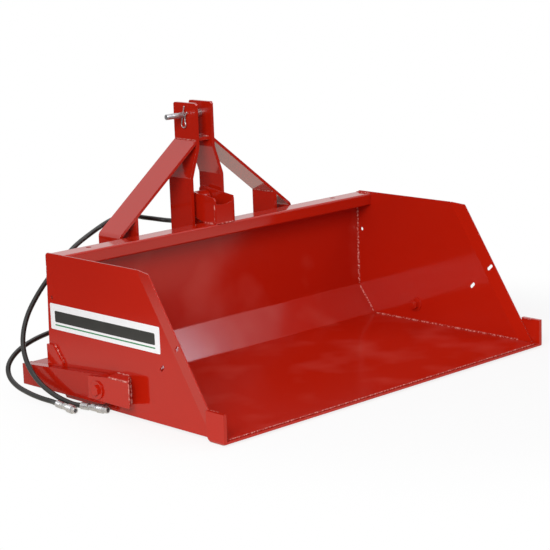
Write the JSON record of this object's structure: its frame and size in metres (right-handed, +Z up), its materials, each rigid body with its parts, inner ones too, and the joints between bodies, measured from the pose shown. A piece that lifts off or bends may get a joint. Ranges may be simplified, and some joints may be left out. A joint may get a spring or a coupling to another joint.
{
  "type": "rear tipping bucket",
  "caption": "Hydraulic tipping bucket for a small tractor's three-point hitch: open scoop with flared sides, side arms, mast with braces and a lift cylinder.",
  "frame": {"origin": "bottom centre of the bounding box, on the ground, without the hoses and what is on them", "axes": "+X across the bucket, -Y the open front with the cutting edge, +Y the hitch side, +Z up"},
  "size_m": [1.5524, 1.079, 0.847],
  "materials": {
    "red_paint": "gloss",
    "zinc_steel": "zinc plated",
    "chrome": "polished",
    "hose_rubber": "matt"
  },
  "bodies": {
    "frame": {"pivot_bushes": "zinc_steel", "arm_left": "red_paint", "arm_right": "red_paint", "cross_beam": "red_paint", "mast_plate_left": "red_paint", "mast_plate_right": "red_paint", "mast_spacer": "red_paint", "brace_left": "red_paint", "brace_right": "red_paint", "hitch_ear_left": "red_paint", "hitch_ear_right": "red_paint", "cylinder_lugs": "red_paint", "base_pin": "zinc_steel", "base_pin_rings": "zinc_steel", "hose_upper": "hose_rubber", "hose_lower": "hose_rubber", "ferrule_upper": "zinc_steel", "ferrule_lower": "zinc_steel", "coupler_upper": "zinc_steel", "coupler_lower": "zinc_steel", "top_link_pin": "zinc_steel", "top_pin_sleeve": "zinc_steel"},
    "bucket": {"bucket_shell": "red_paint", "side_plate_left": "red_paint", "side_plate_right": "red_paint", "top_rail": "red_paint", "cutting_edge": "red_paint", "skid_left": "red_paint", "skid_right": "red_paint", "pivot_bracket_left": "red_paint", "pivot_bracket_right": "red_paint", "rest_stop_left": "red_paint", "rest_stop_right": "red_paint", "clevis_side_plate": "red_paint", "clevis_bent_bar": "red_paint", "pivot_bolts": "red_paint", "pivot_discs": "red_paint", "pivot_inner_washers": "red_paint", "pivot_nuts": "red_paint", "clevis_pin": "zinc_steel", "clevis_pin_rings": "zinc_steel"},
    "barrel": {"cylinder_barrel": "red_paint", "cylinder_gland": "red_paint", "port_adaptors": "zinc_steel", "hose_end_upper": "zinc_steel", "hose_end_lower": "zinc_steel"},
    "rod": {"cylinder_rod": "chrome", "rod_eye": "red_paint", "cylinder_piston": "zinc_steel"},
    "clip": {"r_clip": "zinc_steel"}
  },
  "joints": [
    {"name": "bucket_tip", "type": "hinge", "parent": "frame", "child": "bucket", "pos_m": [0, 0.066, 0.077], "axis": [1, 0, 0], "range_deg": [0, 38]},
    {"name": "barrel_swing", "type": "hinge", "parent": "frame", "child": "barrel", "pos_m": [0, 0.4107, 0.12], "axis": [1, 0, 0], "range_deg": [0, 33.7]},
    {"name": "rod_extend", "type": "slide", "parent": "barrel", "child": "rod", "axis": [0, 0, 1], "range_m": [0, 0.2245]},
    {"name": "clip_pull", "type": "slide", "parent": "frame", "child": "clip", "axis": [0, 0.2588, -0.9659], "range_m": [0, 0.04]}
  ],
  "couplings": [
    {"joint": "barrel_swing", "follows": "bucket_tip", "ratio": 0.8866},
    {"joint": "rod_extend", "follows": "bucket_tip", "m_per_rad": 0.33842}
  ]
}
